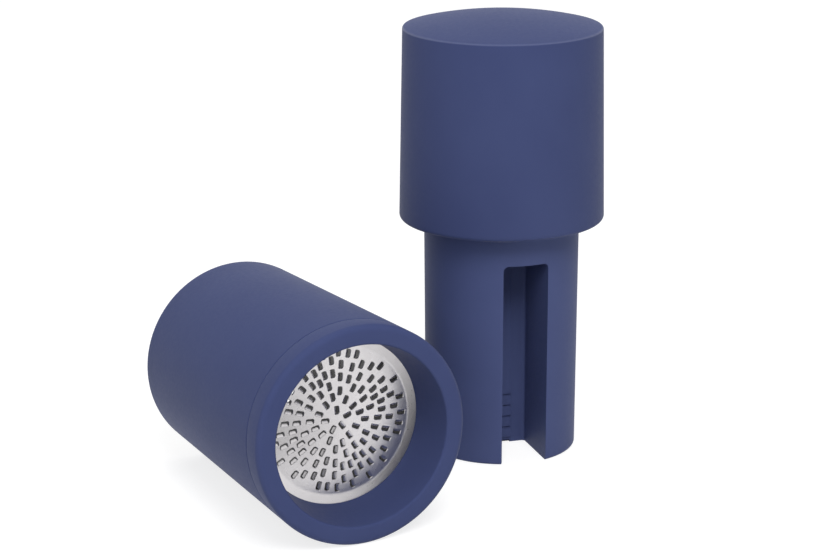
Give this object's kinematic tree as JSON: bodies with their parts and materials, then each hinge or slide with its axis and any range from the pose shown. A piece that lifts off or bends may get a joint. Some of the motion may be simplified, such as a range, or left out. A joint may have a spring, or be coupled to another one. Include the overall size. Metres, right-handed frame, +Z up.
{
  "type": "nutmeg grater",
  "caption": "Hand-held twist grater for whole nutmegs, taken apart: a barrel with a toothed steel disc in its end, and a plunger with a cap and a nutmeg channel.",
  "frame": {"origin": "on the ground plane, under the centre of the box round both units", "axes": "+Z up; -Y is the way the lying barrel's blade end faces; the plunger stands at +X of the barrel"},
  "size_m": [0.141, 0.0928, 0.1374],
  "materials": {
    "soft_touch": "navy soft-touch coat, very fine grain, faint sheen",
    "stem_plastic": "navy moulded plastic, satin",
    "inner_plastic": "black moulded plastic, satin",
    "etched_steel": "satin stainless sheet with etched teeth",
    "glide_plastic": "slippery moulded plastic, off-white",
    "screw_steel": "plain steel"
  },
  "bodies": {
    "barrel": {"barrel_shell": "soft_touch", "barrel_liner": "inner_plastic", "base_ring": "soft_touch", "grater_blade": "etched_steel"},
    "glide": {"glide_ring": "glide_plastic"},
    "plunger": {"cap_shell": "soft_touch", "plunger_stem": "stem_plastic", "grip_strip": "stem_plastic", "stem_screws": "screw_steel"}
  },
  "joints": [
    {"name": "plunger_slide", "type": "slide", "parent": "barrel", "child": "glide", "axis": [0, 0, 1], "range_m": [0, 0.0727]},
    {"name": "plunger_twist", "type": "hinge", "parent": "glide", "child": "plunger", "pos_m": [0.03868, 0.01423, 0.0737], "axis": [0, 0, 1], "continuous": true}
  ]
}
